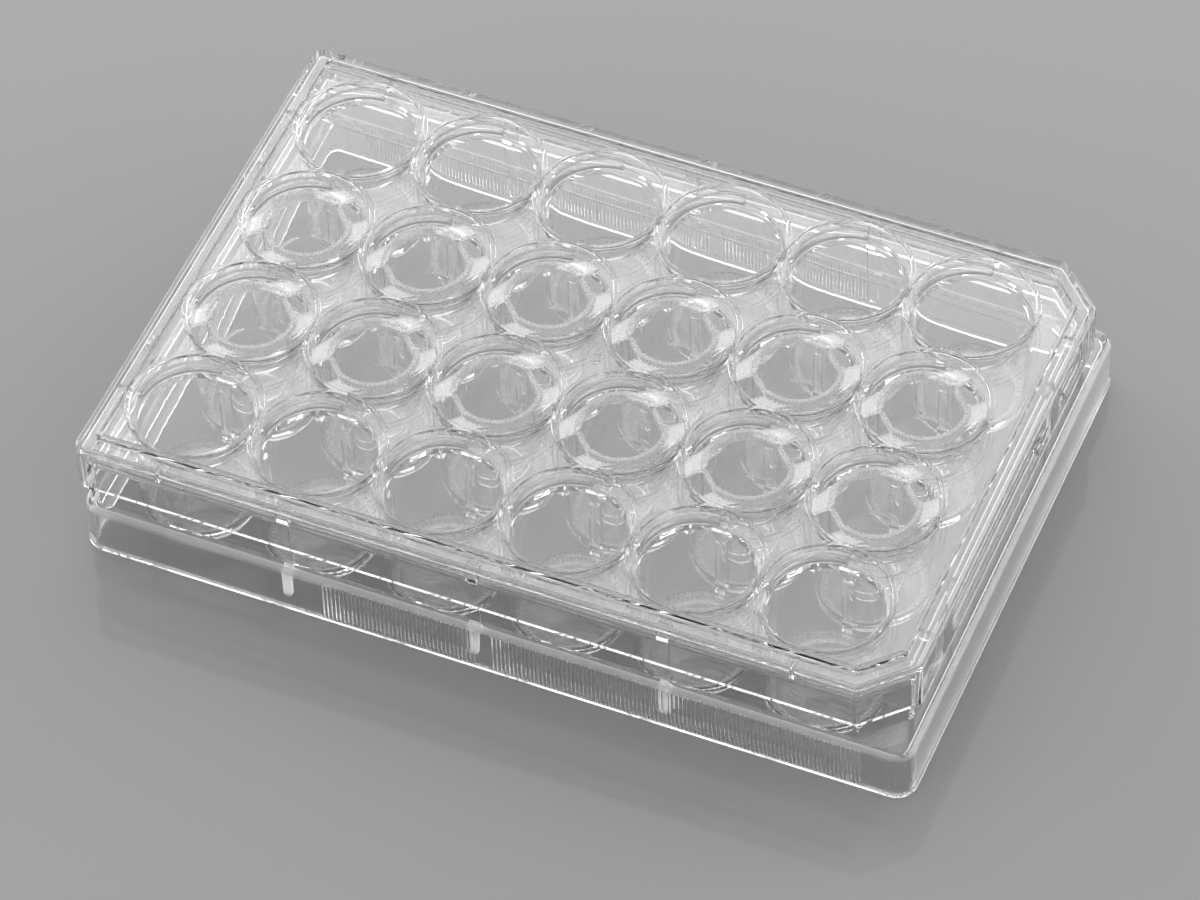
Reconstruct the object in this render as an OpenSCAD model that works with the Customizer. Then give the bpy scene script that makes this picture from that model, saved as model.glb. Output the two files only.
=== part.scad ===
// Lidded 24-well plate with twelve hanging membrane inserts in its two middle rows.
// Millimetres. Origin: centre of the footprint, on the surface the plate stands on.
// X runs along the rows, Y across them, Z up. The end with the cut corners is +X.

/* [Footprint and base] */
// Length of the footprint
base_l = 127.76; // [120:0.01:135]
// Width of the footprint
base_w = 85.48; // [80:0.01:92]
// Corner radius of the footprint
base_r = 3.18; // [1:0.01:6]
// Wall of the lower skirt
skirt_t = 1.2; // [0.8:0.1:2]
// Height of the ledge on top of the lower skirt
ledge_h = 8.7; // [5:0.1:11]
// Width of the ledge on the long sides, from the skirt to the upper wall
ledge_w = 1.75; // [1.5:0.05:3]
// Width of the ledge on the short sides
end_ledge_w = 2.05; // [1.9:0.05:3.5]
// Wall of the upper part of the base
wall_t = 1.1; // [0.8:0.1:2]
// Height of the deck that joins the wells
deck_h = 18.1; // [15:0.1:19]
// Thickness of the deck
deck_t = 1.1; // [0.8:0.1:2]
// How far the upper part sits towards the square end
upper_shift = 0.5; // [0:0.1:1.2]
// Legs of the two cut corners, at the upper wall
corner_cut = 6.2; // [3:0.1:9]

/* [Wells] */
// Wells along X
columns = 6; // [2:1:6]
// Wells along Y
rows = 4; // [2:1:4]
// Distance between well centres
pitch = 19.3; // [18.8:0.1:20]
// How far the well grid sits towards the square end
grid_shift = 2.35; // [0:0.05:2.6]
// Radius of a well at its mouth
well_r = 8.35; // [7.6:0.05:8.5]
// Radius of a well at its floor
well_floor_r = 8; // [7:0.05:8.3]
// Width of a tie between neighbouring wells
tie_w = 1.6; // [1:0.1:2.5]
// Height of the lower end of a tie
tie_low = 2.2; // [1.8:0.1:4]
// Height of the upper end of a tie
tie_high = 14.3; // [8:0.1:16]
// Wall of a well at its mouth
well_t = 0.75; // [0.6:0.05:0.9]
// Height of the floor inside a well
floor_h = 2.9; // [2.2:0.1:5]
// Thickness of a well's floor
floor_t = 1.3; // [0.8:0.1:2]
// Height of the seat on each rim, where an insert hangs, over the deck
seat_rise = 0.8; // [0.3:0.1:1.3]
// Height of the two raised lips on each rim, over the seat
lip_rise = 1.7; // [1:0.1:2]
// Step in the bore at the foot of the lips
lip_step = 0.15; // [0.05:0.05:0.3]

/* [Grip ridges, posts and guides] */
// Distance between grip ridges
ridge_pitch = 0.63; // [0.5:0.01:1.2]
// Height of a grip ridge over the skirt, inside the footprint
ridge_out = 0.22; // [0.1:0.01:0.4]
// Length of the row of grip ridges
ridge_run = 83; // [40:1:90]
// How far the row of ridges sits from the middle of its side
ridge_shift = 15.2; // [0:0.1:18]
// Smooth gap in the ridges at the middle post
ridge_gap = 2.3; // [1.5:0.1:5]
// How far that gap sits towards the square end
ridge_gap_shift = 0.75; // [0:0.05:2]
// How far the ridges end under the top of the skirt
ridge_drop = 0.6; // [0.3:0.1:2]
// Height of the smooth band at the foot of the skirt
ridge_foot = 0.8; // [0.4:0.1:2]
// Distance between the posts on the long sides
post_pitch_x = 28.95; // [20:0.05:32]
// Distance between the posts on the short sides
post_pitch_y = 38.6; // [24:0.1:50]
// Width of a post
post_w = 2; // [1:0.1:4]
// Height of the posts over the deck, where they carry the lid
post_rise = 2.1; // [1.5:0.1:2.3]
// How far a post stands out of the upper wall
post_out = 0.2; // [0.1:0.05:0.2]
// Height of the foot of a gusset inside the skirt
gusset_h = 2.2; // [1:0.1:5]
// Depth of a gusset inside the skirt
gusset_d = 1; // [0.5:0.1:2]

/* [Lid] */
// Gap between the upper wall and the lid's skirt
lid_gap = 0.4; // [0.35:0.05:0.8]
// Wall of the lid's skirt
lid_t = 0.95; // [0.7:0.05:1.4]
// How far the lid's skirt hangs down from the top of the posts
lid_drop = 7.2; // [4:0.1:9]
// Thickness of the lid's outer step
step_t = 1.2; // [0.8:0.1:1.6]
// Gap between the lips and the underside of the lid's panel
panel_gap = 0.2; // [0.1:0.05:0.5]
// Thickness of the lid's flat panel
panel_t = 0.8; // [0.6:0.1:1.6]
// Height of the stacking rim over the panel
rim_rise = 0.9; // [0.5:0.1:2]
// Distance of the stacking rim from the lid's edge
rim_in = 2.6; // [2:0.1:3]
// Wall of the stacking rim
rim_t = 0.6; // [0.4:0.05:1]
// Radius of the lid's square-end corners
lid_r = 1.6; // [0.5:0.1:3]
// Middle radius of the rings on the lid
ring_r = 9.67; // [9.3:0.01:9.8]
// Width of a ring on the lid
ring_w = 0.8; // [0.4:0.05:1]
// How far the rings stand up from the panel
ring_d = 0.3; // [0.1:0.05:0.4]
// Width of the pads inside the lid's skirt
pad_w = 3.5; // [2:0.1:6]
// Gap between the pads and the posts they slide past
pad_gap = 0.05; // [0.02:0.01:0.08]
// Distance between the pads on the long sides
pad_pitch_x = 47.2; // [30:0.1:50]
// Distance between the pads on the short sides
pad_pitch_y = 43.4; // [30:0.1:50]
// How far the pads on the long sides sit off the middle
pad_shift = 0.9; // [0:0.1:3]
// How far the pads on the short sides sit off the middle
pad_shift_y = 3.15; // [0:0.05:5]
// Thickness of the webs in the lid's corners
web_t = 0.7; // [0.4:0.1:1.2]
// How far the webs reach down from the lid's step
web_d = 1.6; // [0.5:0.1:1.9]
// Radius of the gate mark
gate_r = 0.9; // [0.5:0.1:1.5]
// Depth of the gate mark
gate_d = 0.2; // [0.1:0.05:0.5]

/* [Inserts] */
// First row that holds inserts, counted from the front
first_insert_row = 2; // [1:1:4]
// Rows that hold inserts
insert_rows = 2; // [1:1:2]
// Radius of an insert's mouth
cup_r = 5.9; // [5:0.1:6.2]
// Wall of an insert
cup_t = 0.8; // [0.6:0.05:1]
// Height of an insert's mouth over the seat
cup_rise = 1.4; // [0.9:0.1:1.6]
// Distance of an insert's two flats from its middle, inside
flat_d = 5.3; // [4.6:0.1:5.8]
// How far the top of a flat lies under the mouth
flat_drop = 1.2; // [0.4:0.1:1.4]
// Radius of the membrane's free area
membrane_r = 3.25; // [2.5:0.05:4]
// Thickness of the membrane
membrane_t = 0.1; // [0.05:0.01:0.3]
// Gap between the well's floor and the membrane
membrane_gap = 0.9; // [0.4:0.1:2]
// Height over the membrane where the straight cup starts to narrow
neck_rise = 7.2; // [5:0.1:10]
// Height over the membrane where the cone ends
throat_rise = 1.8; // [1:0.1:3]
// Wall of the throat, which the membrane is sealed to
throat_t = 1; // [0.7:0.05:1.4]
// Thickness of the four tabs that hang on the rim
tab_t = 0.8; // [0.5:0.05:1]
// Half width of the tabs' outer end
tab_end = 4.7; // [3.5:0.1:6]
// Gap between a tab's end and the outside of the rim
tab_gap = 0.2; // [0.1:0.05:0.6]
// Width of the pipette slot between two tabs
slot_w = 4.5; // [3:0.1:6]

/* [Hidden] */
$fn = 64;
over = 0.01;
clear_plastic = [0.86, 0.89, 0.91, 0.35];
insert_plastic = [0.9, 0.92, 0.93, 0.45];
film_white = [0.95, 0.95, 0.94, 0.7];

// the upper wall and the lid share one outline, drawn by its distance from the upper wall
upper_l = base_l - 2 * end_ledge_w;
upper_w = base_w - 2 * ledge_w;
lid_out = lid_gap + lid_t;
cut_per_inset = 2 - sqrt(2);

seat_h = deck_h + seat_rise;
lip_h = seat_h + lip_rise;
post_h = deck_h + post_rise;
lid_foot_h = post_h - lid_drop;
lid_step_h = post_h + step_t;
panel_under_h = lip_h + panel_gap;
panel_h = panel_under_h + panel_t;
rim_h = panel_h + rim_rise;

rim_r = well_r + well_t;
insert_angle = 45;
cup_or = cup_r + cup_t;
flat_or = flat_d + cup_t;
tab_r = rim_r - tab_gap;
cup_h = seat_h + cup_rise;
membrane_h = floor_h + membrane_gap;
cup_bottom_h = membrane_h + membrane_t;
throat_h = membrane_h + throat_rise;
neck_h = membrane_h + neck_rise;
throat_or = membrane_r + throat_t;
cup_taper = 0.25;
ridge_top = ledge_h - ridge_drop;
least_r = 0.3;
pocket_in = rim_in + rim_t / 2;
pad_t = lid_gap - post_out - pad_gap;

function well_x(c) = (c - (columns - 1) / 2) * pitch - grid_shift;
function well_y(r) = (r - (rows - 1) / 2) * pitch;

// ---- outlines ----

module footprint(inset) {
  r = base_r - inset;
  l = base_l - 2 * inset;
  w = base_w - 2 * inset;
  square([l - 2 * r, w], center = true);
  square([l, w - 2 * r], center = true);
  for (sx = [-1, 1], sy = [-1, 1])
    translate([sx * (l / 2 - r), sy * (w / 2 - r)])
      circle(r);
}

// square end at -X with rounded corners, cut corners at +X
module upper_outline(inset) {
  l = upper_l - 2 * inset;
  w = upper_w - 2 * inset;
  r = max(lid_r - lid_out - inset, least_r);
  c = corner_cut - cut_per_inset * inset;
  translate([-upper_shift, 0]) {
    polygon([
      [-l / 2 + r, -w / 2], [l / 2 - c, -w / 2], [l / 2, -w / 2 + c],
      [l / 2, w / 2 - c], [l / 2 - c, w / 2], [-l / 2 + r, w / 2]
    ]);
    translate([-l / 2, -w / 2 + r])
      square([2 * r, w - 2 * r]);
    for (s = [-1, 1])
      translate([-l / 2 + r, s * (w / 2 - r)])
        circle(r);
  }
}

module upper_block(inset, low, high) {
  translate([0, 0, low])
    linear_extrude(high - low)
      upper_outline(inset);
}

module at_wells() {
  for (c = [0:columns - 1], r = [0:rows - 1])
    translate([well_x(c), well_y(r), 0])
      children();
}

// ---- base plate ----

module lower_skirt() {
  difference() {
    linear_extrude(ledge_h)
      footprint(ridge_out);
    translate([0, 0, -over])
      linear_extrude(ledge_h - skirt_t + over)
        footprint(skirt_t + ridge_out);
    upper_block(wall_t, -over, ledge_h + over);
  }
}

module foot_band() {
  difference() {
    linear_extrude(ridge_foot)
      footprint(0);
    translate([0, 0, -over])
      linear_extrude(ridge_foot + 2 * over)
        footprint(skirt_t);
  }
}

// a comb of small triangular ridges on one long side, point up in -Y
module ridge_comb(count) {
  run = count * ridge_pitch;
  teeth = [for (i = [0:count - 1]) for (p = [[0, over], [0.5, ridge_out]])
    [(i + p[0]) * ridge_pitch - run / 2, -p[1]]];
  polygon(concat(teeth, [[run / 2, -over], [run / 2, ridge_out], [-run / 2, ridge_out]]));
}

module grip_ridges() {
  gap_left = -ridge_gap_shift - ridge_gap / 2;
  gap_right = -ridge_gap_shift + ridge_gap / 2;
  left_count = floor((gap_left + ridge_run / 2 - ridge_shift) / ridge_pitch);
  right_count = floor((ridge_shift + ridge_run / 2 - gap_right) / ridge_pitch);
  for (a = [0, 180])
    rotate(a)
      translate([0, -base_w / 2 + ridge_out, ridge_foot - over])
        linear_extrude(ridge_top - ridge_foot) {
          translate([gap_left - left_count * ridge_pitch / 2, 0])
            ridge_comb(left_count);
          translate([gap_right + right_count * ridge_pitch / 2, 0])
            ridge_comb(right_count);
        }
}

module upper_shell() {
  difference() {
    upper_block(0, ledge_h - skirt_t, deck_h);
    upper_block(wall_t, ledge_h - skirt_t - over, deck_h - deck_t);
  }
}

module well_outsides() {
  at_wells()
    translate([0, 0, floor_h - floor_t])
      cylinder(h = seat_h - floor_h + floor_t, r1 = well_floor_r + well_t, r2 = rim_r);
}

// narrow ties that join each well to the next one along X and along Y
module well_ties() {
  reach = pitch - 2 * rim_r + 1.4;
  for (c = [0:columns - 1], r = [0:rows - 1]) {
    if (c < columns - 1)
      translate([well_x(c) + (pitch - reach) / 2, well_y(r) - tie_w / 2, tie_low])
        cube([reach, tie_w, tie_high - tie_low]);
    if (r < rows - 1)
      translate([well_x(c) - tie_w / 2, well_y(r) + (pitch - reach) / 2, tie_low])
        cube([tie_w, reach, tie_high - tie_low]);
  }
}

module well_lips() {
  at_wells()
    translate([0, 0, seat_h - over])
      linear_extrude(lip_h - seat_h + over)
        intersection() {
          difference() {
            circle(rim_r);
            circle(well_r);
          }
          union() {
            translate([-2 * rim_r, 0])
              square(2 * rim_r);
            translate([0, -2 * rim_r])
              square(2 * rim_r);
          }
        }
}

module well_bores() {
  at_wells() {
    translate([0, 0, floor_h])
      cylinder(h = seat_h + over - floor_h, r1 = well_floor_r, r2 = well_r);
    translate([0, 0, seat_h + lip_step])
      cylinder(h = lip_h - seat_h, r = well_r + lip_step);
  }
}

// guide post on the outside of the upper wall with a pad on top, for a wall along X at y = 0
module post() {
  translate([-post_w / 2, -post_out, ledge_h - over])
    cube([post_w, post_out + wall_t, post_h - ledge_h + over]);
}

// tapered gusset under the ledge, against the inside of the skirt
module gusset() {
  rotate([90, 0, 90])
    translate([0, 0, -post_w / 2])
      linear_extrude(post_w)
        polygon([[-over, gusset_h], [gusset_d, ledge_h - skirt_t + over], [-over, ledge_h - skirt_t + over]]);
}

// the posts on the long sides stand in line with the well grid
module posts() {
  for (side = [0, 1])
    mirror([0, side, 0])
      for (i = [-1:1])
        translate([i * post_pitch_x - grid_shift, -base_w / 2, 0]) {
          translate([0, ledge_w, 0])
            post();
          translate([0, skirt_t + ridge_out, 0])
            gusset();
        }
  for (side = [-1, 1])
    for (i = [-1, 1])
      translate([side * upper_l / 2 - upper_shift, i * post_pitch_y / 2, 0])
        rotate(side * 90)
          post();
}

module base_plate() {
  color(clear_plastic)
    difference() {
      union() {
        lower_skirt();
        foot_band();
        grip_ridges();
        upper_shell();
        well_outsides();
        well_ties();
        well_lips();
        posts();
      }
      well_bores();
    }
}

// ---- lid ----

module lid_shell() {
  difference() {
    union() {
      upper_block(-lid_out, lid_foot_h, lid_step_h);
      upper_block(rim_in - lid_out, lid_step_h - over, rim_h);
    }
    upper_block(-lid_gap, lid_foot_h - over, post_h);
    upper_block(pocket_in - lid_out, post_h - over, panel_under_h);
    upper_block(rim_in + rim_t - lid_out, panel_h, rim_h + over);
  }
}

module panel_rings() {
  translate([0, 0, panel_h - over])
    linear_extrude(ring_d + over)
      difference() {
        at_wells_2d()
          circle(ring_r + ring_w / 2);
        at_wells_2d()
          ring_hole();
      }
}

module at_wells_2d() {
  for (c = [0:columns - 1], r = [0:rows - 1])
    translate([well_x(c), well_y(r)])
      children();
}

module ring_hole() {
  circle(ring_r - ring_w / 2);
}

module skirt_pads() {
  pad_h = post_h - lid_foot_h;
  for (a = [0, 180])
    rotate(a)
      for (i = [-1:1])
        translate([i * pad_pitch_x - pad_shift - pad_w / 2, -upper_w / 2 - lid_gap - over, lid_foot_h])
          cube([pad_w, pad_t + over, pad_h + over]);
  for (side = [-1, 1])
    for (i = [-1, 1])
      translate([side * (upper_l / 2 + lid_gap) - upper_shift, i * pad_pitch_y / 2 - side * pad_shift_y, lid_foot_h])
        rotate(side * 90)
          translate([-pad_w / 2, -over, 0])
            cube([pad_w, pad_t + over, pad_h + over]);
}

// short webs in the corner between the lid's step and its skirt, in line with the outer wells
module corner_webs() {
  reach = pocket_in - lid_t;
  for (sy = [-1, 1], c = [0, columns - 1])
    translate([well_x(c) - web_t / 2, sy * (upper_w / 2 + lid_gap - reach / 2) - reach / 2 - over, post_h - web_d])
      cube([web_t, reach + 2 * over, web_d + over]);
  for (sx = [-1, 1], r = [0, rows - 1])
    translate([sx * (upper_l / 2 + lid_gap - reach / 2) - upper_shift - reach / 2 - over, well_y(r) - web_t / 2, post_h - web_d])
      cube([reach + 2 * over, web_t, web_d + over]);
}

module lid() {
  color(clear_plastic)
    difference() {
      union() {
        lid_shell();
        panel_rings();
        skirt_pads();
        corner_webs();
      }
      translate([-upper_shift, 0, panel_h - gate_d])
        cylinder(h = gate_d + over, r = gate_r);
    }
}

// ---- inserts ----

module cup_side(radius, neck_radius, throat_radius, flat, top) {
  intersection() {
    rotate_extrude()
      polygon([
        [0, cup_bottom_h - (top - cup_h)], [throat_radius, cup_bottom_h - (top - cup_h)],
        [throat_radius, throat_h], [neck_radius, neck_h], [radius, top], [0, top]
      ]);
    translate([-flat, -2 * radius, 0])
      cube([2 * flat, 4 * radius, top + 1]);
  }
}

module tabs() {
  translate([0, 0, seat_h])
    linear_extrude(tab_t)
      difference() {
        intersection() {
          circle(tab_r);
          polygon([
            [-tab_r, -tab_end], [0, -cup_or], [tab_r, -tab_end],
            [tab_r, tab_end], [0, cup_or], [-tab_r, tab_end]
          ]);
        }
        circle(cup_r);
        for (s = [-1, 1])
          translate([s * (flat_or + tab_r), 0])
            square([2 * tab_r, slot_w], center = true);
      }
}

module insert(column, row) {
  translate([well_x(column), well_y(row), 0])
    rotate(insert_angle)
      color(insert_plastic)
        difference() {
          union() {
            cup_side(cup_or, cup_or - cup_taper, throat_or, flat_or, cup_h);
            tabs();
          }
          cup_side(cup_r, cup_r - cup_taper, membrane_r, flat_d, cup_h + over);
          for (s = [-1, 1])
            translate([s * (flat_d + cup_t), 0, cup_h])
              cube([2 * cup_t + 2 * over, slot_w, 2 * flat_drop], center = true);
        }
}

module membrane(column, row) {
  translate([well_x(column), well_y(row), membrane_h])
    color(film_white)
      cylinder(h = membrane_t, r = throat_or);
}

row_c = first_insert_row - 1;
row_b = row_c + insert_rows - 1;

base_plate();
lid();
insert(0, row_b);  // insert_b1
insert(1, row_b);  // insert_b2
insert(2, row_b);  // insert_b3
insert(3, row_b);  // insert_b4
insert(4, row_b);  // insert_b5
insert(5, row_b);  // insert_b6
insert(0, row_c);  // insert_c1
insert(1, row_c);  // insert_c2
insert(2, row_c);  // insert_c3
insert(3, row_c);  // insert_c4
insert(4, row_c);  // insert_c5
insert(5, row_c);  // insert_c6
membrane(0, row_b);  // membrane_b1
membrane(1, row_b);  // membrane_b2
membrane(2, row_b);  // membrane_b3
membrane(3, row_b);  // membrane_b4
membrane(4, row_b);  // membrane_b5
membrane(5, row_b);  // membrane_b6
membrane(0, row_c);  // membrane_c1
membrane(1, row_c);  // membrane_c2
membrane(2, row_c);  // membrane_c3
membrane(3, row_c);  // membrane_c4
membrane(4, row_c);  // membrane_c5
membrane(5, row_c);  // membrane_c6
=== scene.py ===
# %% [markdown]
# # A lidded well plate with hanging inserts
#
# The real object is a clear moulded plate with 24 round wells. A loose lid rests on
# its posts, and twelve small membrane cups hang in the two middle rows of wells.
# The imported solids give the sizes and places, and this lesson dresses them: each
# moulding is rebuilt with the small rounded edges that make clear plastic sparkle.

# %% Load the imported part
import math
import bmesh
import bpy
from mathutils import Matrix, Vector


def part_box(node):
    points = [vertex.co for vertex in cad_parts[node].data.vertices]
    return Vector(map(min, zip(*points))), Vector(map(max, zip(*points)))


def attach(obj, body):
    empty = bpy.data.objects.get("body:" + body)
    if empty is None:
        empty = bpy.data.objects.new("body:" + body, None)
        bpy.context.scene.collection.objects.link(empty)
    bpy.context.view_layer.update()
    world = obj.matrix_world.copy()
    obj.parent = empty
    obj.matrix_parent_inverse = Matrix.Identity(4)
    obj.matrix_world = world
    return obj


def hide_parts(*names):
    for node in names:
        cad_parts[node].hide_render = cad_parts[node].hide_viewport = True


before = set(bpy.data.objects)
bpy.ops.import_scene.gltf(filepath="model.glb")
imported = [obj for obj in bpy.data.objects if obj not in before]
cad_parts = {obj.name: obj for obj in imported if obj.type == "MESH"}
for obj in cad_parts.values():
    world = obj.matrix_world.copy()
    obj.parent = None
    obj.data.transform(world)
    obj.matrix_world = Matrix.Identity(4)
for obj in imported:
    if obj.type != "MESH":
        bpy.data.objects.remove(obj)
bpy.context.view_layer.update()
scene = bpy.context.scene

# %% [markdown]
# ## Sizes
#
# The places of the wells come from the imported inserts, and the outlines from the
# boxes of the base and the lid. What is left are small sizes such as walls and
# radii, written here in millimetres.

# %% Read the grid and the main heights from the solids
MM = 0.001


def mm_box(node):
    low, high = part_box(node)
    return [v / MM for v in low], [v / MM for v in high]


def middle(node):
    low, high = mm_box(node)
    return (low[0] + high[0]) / 2, (low[1] + high[1]) / 2


(base_low, base_high) = mm_box("base_plate")
(lid_low, lid_high) = mm_box("lid")
first_x, row_c_y = middle("insert_c1")
last_x, row_b_y = middle("insert_b6")
PITCH = row_b_y - row_c_y
COLUMNS = [first_x + i * (last_x - first_x) / 5 for i in range(6)]
ROWS = [row_c_y - PITCH, row_c_y, row_b_y, row_b_y + PITCH]
WELLS = [(x, y) for y in ROWS for x in COLUMNS]
BASE_L = base_high[0] - base_low[0]
BASE_W = base_high[1] - base_low[1]
LID_L = lid_high[0] - lid_low[0]
LID_W = lid_high[1] - lid_low[1]
LID_X = (lid_low[0] + lid_high[0]) / 2
GRID_X = (first_x + last_x) / 2
print("pitch", round(PITCH, 2), "grid middle", round(GRID_X, 2))
print("base", round(BASE_L, 2), round(BASE_W, 2), "lid", round(LID_L, 2), round(LID_W, 2))

# %% [markdown]
# The heights and walls below are shared by several pieces. They are the usual sizes
# of such plates: change one here and every piece that meets it follows. Sizes that
# only one piece needs come with that piece.

# %% Name the shared sizes, in millimetres
LEDGE_H, DECK_H, SEAT_H, LIP_H = 8.7, 18.1, 18.9, 20.6
POST_TOP, PANEL_UNDER, PANEL_H, STEP_H = 20.2, 20.8, 21.6, 21.4
LID_FOOT, RIM_H = lid_low[2], lid_high[2]
WELL_R, WELL_FLOOR_R, WELL_T = 8.35, 8.0, 0.75
FLOOR_H, FLOOR_UNDER = 2.9, 1.6
RIM_R = WELL_R + WELL_T
LID_OUT = 1.35
SKIRT_T, WALL_T, LID_T = 1.2, 1.1, 0.95
RIDGE_OUT, RIDGE_PITCH = 0.22, 0.63
SEGMENTS = 96
print("walls:", SKIRT_T, WALL_T, LID_T, WELL_T, "wells:", 2 * WELL_R, "wide at the top")

# %% [markdown]
# ## The camera
#
# A long lens well above the plate keeps its long edges almost parallel. The camera
# stands in front and to the right, about fifty degrees above the bench.

# %% Place the camera
CAMERA_AT = Vector((0.242155, -0.536202, 0.693649))
CAMERA_RIGHT = Vector((0.922617, 0.384880, -0.025393))
CAMERA_UP = Vector((-0.278228, 0.709661, 0.647279))
SENSOR = 36.0
LENS = 187.204

camera_data = bpy.data.cameras.new("camera")
camera_data.sensor_width = SENSOR
camera_data.lens = LENS
camera_data.clip_end = 20
camera = bpy.data.objects.new("camera", camera_data)
scene.collection.objects.link(camera)
turned = Matrix((CAMERA_RIGHT, CAMERA_UP, CAMERA_RIGHT.cross(CAMERA_UP))).transposed().to_4x4()
turned.translation = CAMERA_AT
camera.matrix_world = turned
scene.camera = camera
print("camera at", [round(v, 3) for v in CAMERA_AT], "lens", LENS)

# %% [markdown]
# ## Building moulded shapes
#
# A moulding can be drawn as one profile that is carried round an outline, as a tool
# maker would do. Each corner of the profile gets a small radius, because a moulded
# edge is never sharp, and on clear plastic that radius is what catches the light.
# Round things are the same idea with a circle for the outline.


# %% Round the corners of a profile
ARC_STEP = 18


def arc(centre, start, stop, steps):
    """Points on the short arc round a centre, from start to stop."""
    a, b = start - centre, stop - centre
    turn = a.angle(b)
    points = []
    for k in range(steps + 1):
        t = k / steps
        p = (a * math.sin((1 - t) * turn) + b * math.sin(t * turn)) / math.sin(turn)
        points.append(tuple(centre + p))
    return points


def rounded(points, closed=False):
    """points are (across, up, radius). Each corner becomes a short arc."""
    out = []
    count = len(points)
    for i, (x, z, r) in enumerate(points):
        if r <= 0 or (not closed and i in (0, count - 1)):
            out.append((x, z))
            continue
        here = Vector((x, z))
        back = Vector(points[i - 1][:2]) - here
        on = Vector(points[(i + 1) % count][:2]) - here
        half = back.angle(on) / 2
        reach = min(r / math.tan(half), back.length * 0.49, on.length * 0.49)
        size = reach * math.tan(half)
        start = here + back.normalized() * reach
        stop = here + on.normalized() * reach
        centre = here + (back.normalized() + on.normalized()).normalized() * (size / math.sin(half))
        steps = max(2, round((math.pi - 2 * half) / math.radians(ARC_STEP)))
        out += arc(centre, start, stop, steps)
    return out


quarter = rounded([(0, 1, 0), (0, 0, 0.5), (1, 0, 0)])
print("a square corner of radius 0.5:", [tuple(round(v, 2) for v in p) for p in quarter])

# %% [markdown]
# Most pieces are either a loft, a skin through loops of points, or a turned solid,
# a profile spun round an upright axis as on a lathe. Both could be made with
# modifiers on curves, but faces listed in code stay closed and can be joined and cut.

# %% Turn loops of points into a closed mesh
def mesh_piece(name, verts, faces):
    """An object with these points, in millimetres, and faces."""
    mesh = bpy.data.meshes.new(name)
    mesh.from_pydata([tuple(c * MM for c in v) for v in verts], [], faces)
    mesh.validate()
    piece = bpy.data.objects.new(name, mesh)
    scene.collection.objects.link(piece)
    return piece


def loft(name, loops, ring=False):
    """A closed solid through loops of equal length. With ring, the last loop joins the first."""
    count = len(loops[0])
    verts = [p for loop in loops for p in loop]
    faces = []
    spans = len(loops) if ring else len(loops) - 1
    for i in range(spans):
        a, b = i * count, ((i + 1) % len(loops)) * count
        for k in range(count):
            j = (k + 1) % count
            faces.append((a + k, a + j, b + j, b + k))
    if not ring:
        faces.append(tuple(reversed(range(count))))
        faces.append(tuple(range(len(verts) - count, len(verts))))
    return mesh_piece(name, verts, faces)


# %% Turn a profile as on a lathe
def turned_solid(name, profile, centres=((0, 0),), segments=SEGMENTS):
    """A profile of (radius, height) spun at each centre. It starts and ends on the axis."""
    verts, faces = [], []
    body = profile[1:-1]
    for cx, cy in centres:
        start = len(verts)
        verts.append((cx, cy, profile[0][1]))
        for r, z in body:
            for k in range(segments):
                a = 2 * math.pi * (k + 0.5) / segments
                verts.append((cx + r * math.cos(a), cy + r * math.sin(a), z))
        verts.append((cx, cy, profile[-1][1]))
        last = len(verts) - 1
        for k in range(segments):
            j = (k + 1) % segments
            faces.append((start, start + 1 + j, start + 1 + k))
            for i in range(len(body) - 1):
                a = start + 1 + i * segments
                b = a + segments
                faces.append((a + k, a + j, b + j, b + k))
            top = last - segments
            faces.append((last, top + k, top + j))
    return mesh_piece(name, verts, faces)


print("faces round a turned piece:", SEGMENTS)

# %% [markdown]
# A moulding has no seams between its walls, and clear plastic would show them. So the
# solids are truly joined and cut with Blender's boolean tool, and after each step a
# count of open edges says whether the skin is still closed.

# %% Join and cut solids
def carve(body, tool, how):
    """Joins, cuts or crosses a solid with another one, and deletes the tool."""
    step = body.modifiers.new(how, "BOOLEAN")
    step.operation = how
    step.solver = "MANIFOLD"
    step.object = tool
    bpy.context.view_layer.update()
    cut_body = body.evaluated_get(bpy.context.evaluated_depsgraph_get())
    result = bpy.data.meshes.new_from_object(cut_body)
    if not result.polygons:
        raise RuntimeError(f"{body.name} was lost at {tool.name}")
    body.modifiers.remove(step)
    old = body.data
    name = old.name
    body.data = result
    bpy.data.meshes.remove(old)
    result.name = name
    bpy.data.objects.remove(tool)
    return body


def joined(name, pieces):
    """Several solids that don't touch, as one object."""
    verts, faces = [], []
    for piece in pieces:
        start = len(verts)
        verts += [tuple(v.co / MM) for v in piece.data.vertices]
        faces += [tuple(start + i for i in f.vertices) for f in piece.data.polygons]
        bpy.data.objects.remove(piece)
    return mesh_piece(name, verts, faces)


# %% Turn faces outward and look for open edges
def outward(piece):
    """Turns all faces to the outside."""
    work = bmesh.new()
    work.from_mesh(piece.data)
    bmesh.ops.recalc_face_normals(work, faces=work.faces)
    work.to_mesh(piece.data)
    work.free()
    return piece


def is_closed(piece):
    """The number of open edges, and the volume in cubic millimetres."""
    work = bmesh.new()
    work.from_mesh(piece.data)
    open_edges = sum(1 for e in work.edges if len(e.link_faces) != 2)
    volume = work.calc_volume() / MM**3
    work.free()
    return open_edges, round(volume)


def add(body, name, pieces):
    """Joins a set of small solids to a body in one step, and says what that made."""
    carve(body, joined(name, pieces), "UNION")
    print(name, len(pieces), "open edges, volume", is_closed(body))

# %% [markdown]
# A long flat face beside a tiny round edge shades badly when every corner is simply
# averaged. Weighted normals let the big faces win, so that flats stay flat and only
# the edges turn. Where faces meet at a steep angle, the edge stays sharp.

# %% Shade a finished piece
SHARP_ANGLE, FACE_WEIGHT = 28, 75


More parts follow.
